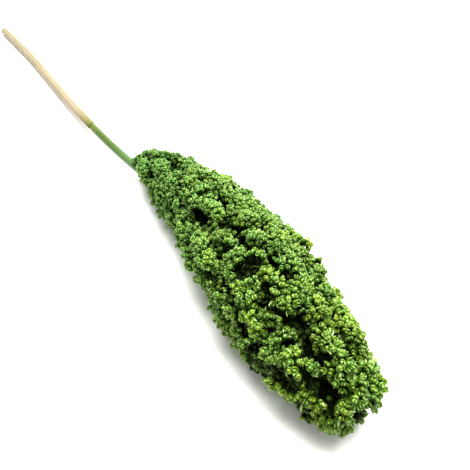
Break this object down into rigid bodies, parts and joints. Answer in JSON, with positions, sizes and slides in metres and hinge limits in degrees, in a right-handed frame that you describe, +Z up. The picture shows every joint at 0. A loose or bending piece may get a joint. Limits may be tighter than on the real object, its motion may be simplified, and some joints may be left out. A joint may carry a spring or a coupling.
{
  "type": "sorghum seed head",
  "caption": "Cut stem of green sorghum lying on its side, with a dense tapering head of spikelet-covered fingers and a dry leaf sheath round the lower stem.",
  "frame": {"origin": "on the surface that the cut stem lies on, under the middle of its box", "axes": "+X runs from the cut end of the stem to the tip of the head, +Z is up from the surface, +Y is the head's left side seen from its cut end"},
  "size_m": [0.7674, 0.1044, 0.0837],
  "materials": {
    "spikelets": "matt green bud-like spikelets with pale rims",
    "green_stem": "smooth green stem with fine lengthwise ribs",
    "dry_sheath": "dry straw-coloured leaf with lengthwise veins"
  },
  "bodies": {
    "root": {"seed_head": "spikelets", "stem": "green_stem", "leaf_sheath": "dry_sheath"}
  },
  "joints": []
}
